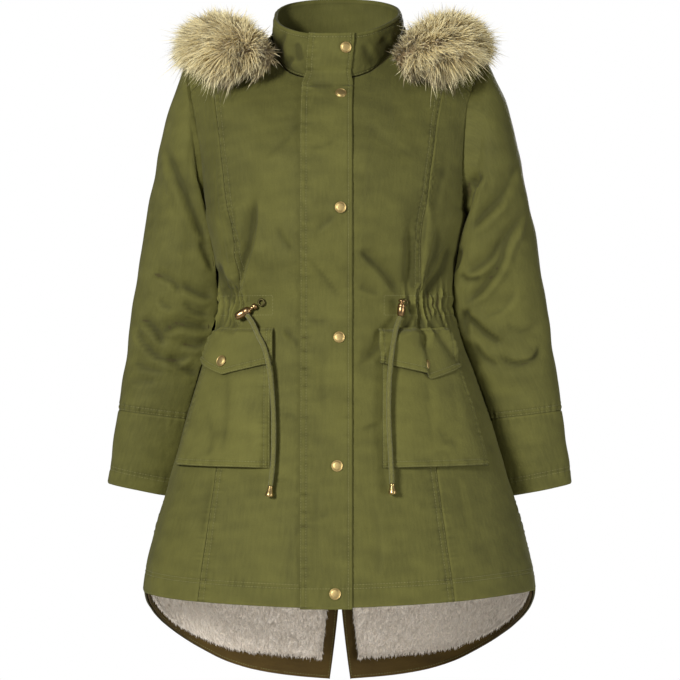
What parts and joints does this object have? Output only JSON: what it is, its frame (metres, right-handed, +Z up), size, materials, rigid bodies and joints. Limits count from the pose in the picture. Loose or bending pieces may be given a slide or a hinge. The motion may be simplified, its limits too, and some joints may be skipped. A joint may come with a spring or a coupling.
{
  "type": "fur trimmed parka",
  "caption": "Hooded parka with fur trim, stand collar, snapped placket, drawn waist, flap pockets and a fleece lined fishtail hem, in its worn form with no wearer.",
  "frame": {"origin": "the middle of the neck, level with the high points of the shoulders", "axes": "+Z up along the garment's length, -Y the way the wearer faces, +X the wearer's left"},
  "size_m": [0.669, 0.4047, 0.9948],
  "materials": {
    "cord": "flat braided cord",
    "facing": "brownish olive twill facing",
    "fleece": "high pile fleece",
    "fur": "long faux fur with pale and dark tips",
    "hardware": "antique gold, polished",
    "shell": "fine cotton twill, slightly satin",
    "snap": "antique gold, satin"
  },
  "bodies": {
    "root": {"back_left": "shell", "back_right": "shell", "bell_left": "hardware", "bell_right": "hardware", "collar": "shell", "cord_left": "cord", "cord_right": "cord", "cuff_left": "shell", "cuff_right": "shell", "eyelet_left": "hardware", "eyelet_right": "hardware", "facing_left": "facing", "facing_right": "facing", "flap_left": "shell", "flap_right": "shell", "flap_snap_left": "snap", "flap_snap_right": "snap", "front_left": "shell", "front_right": "shell", "fur_back": "fur", "fur_left": "fur", "fur_right": "fur", "hood_left": "shell", "hood_right": "shell", "lining_left": "fleece", "lining_right": "fleece", "placket": "shell", "pocket_left": "shell", "pocket_right": "shell", "side_front_left": "shell", "side_front_right": "shell", "sleeve_left": "shell", "sleeve_right": "shell", "snap_1": "snap", "snap_2": "snap", "snap_3": "snap", "snap_4": "snap", "snap_5": "snap", "snap_6": "snap", "toggle_left": "hardware", "toggle_right": "hardware", "yoke_left": "shell", "yoke_right": "shell"}
  },
  "joints": []
}
